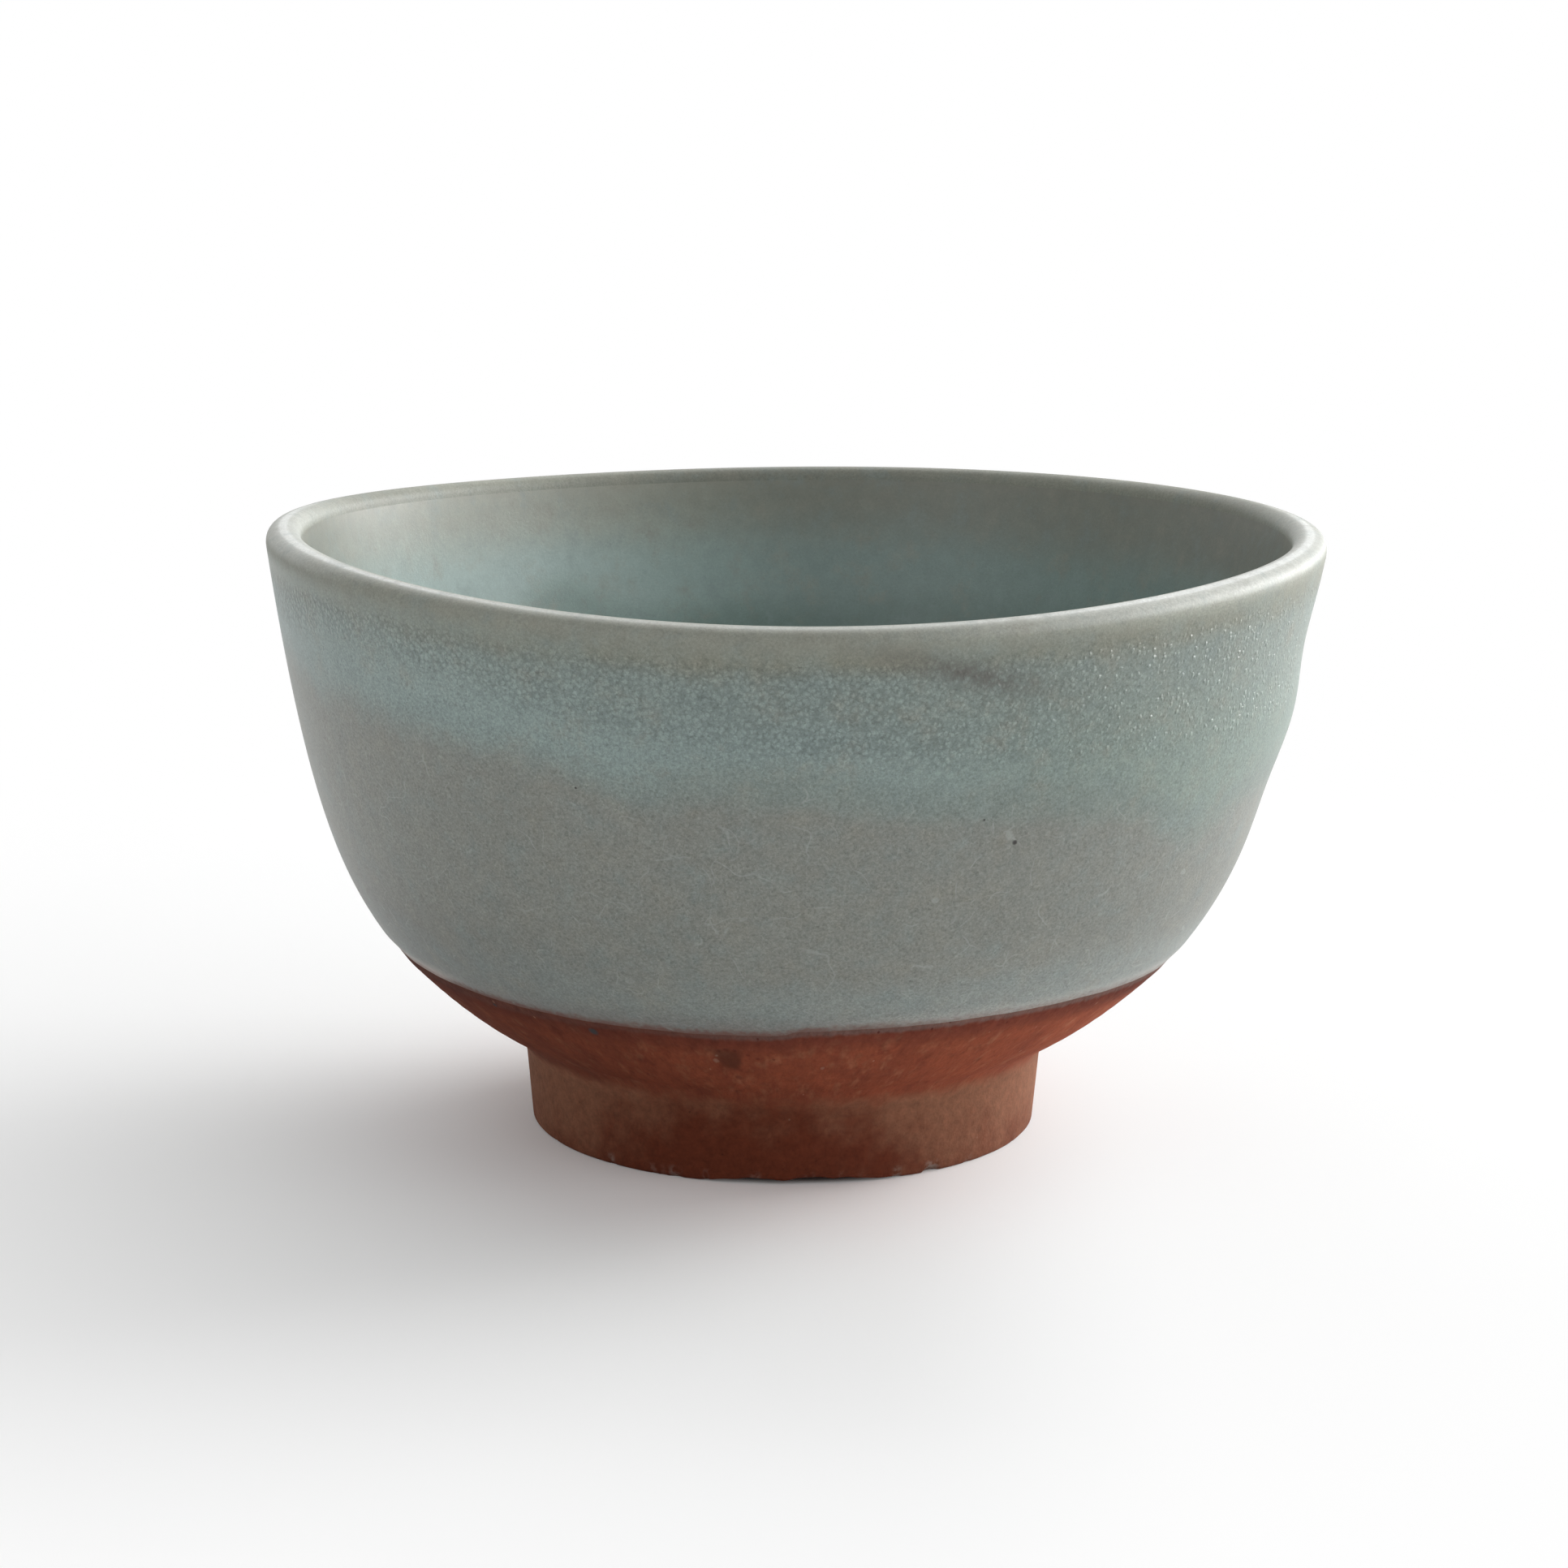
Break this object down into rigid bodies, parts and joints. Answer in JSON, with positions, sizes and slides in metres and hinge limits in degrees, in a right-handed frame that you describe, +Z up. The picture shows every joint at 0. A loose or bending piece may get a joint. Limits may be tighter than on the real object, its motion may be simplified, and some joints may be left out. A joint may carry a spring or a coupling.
{
  "type": "tea bowl",
  "caption": "Footed stoneware tea bowl: thrown clay bowl on a luted foot ring, grey-green glaze inside and out, bare red clay below the glaze line.",
  "frame": {"origin": "on the table plane under the middle of the bowl", "axes": "+Z up through the bowl's mouth, -Y towards the side shown in the picture, +X to its right"},
  "size_m": [0.1188, 0.1206, 0.0695],
  "materials": {
    "red_clay": "bare fired red stoneware, matte and grainy",
    "foot_clay": "bare fired brown-red stoneware, matte, worn at the lower edge",
    "slip": "dry fired slip, matte",
    "outer_glaze": "satin grey-green celadon, pebbled near the lip, finely crackled",
    "inner_glaze": "satin grey-green celadon"
  },
  "bodies": {
    "root": {"thrown_bowl": "red_clay", "foot_ring": "foot_clay", "slip_joint": "slip", "outer_glaze": "outer_glaze", "inner_glaze": "inner_glaze"}
  },
  "joints": []
}
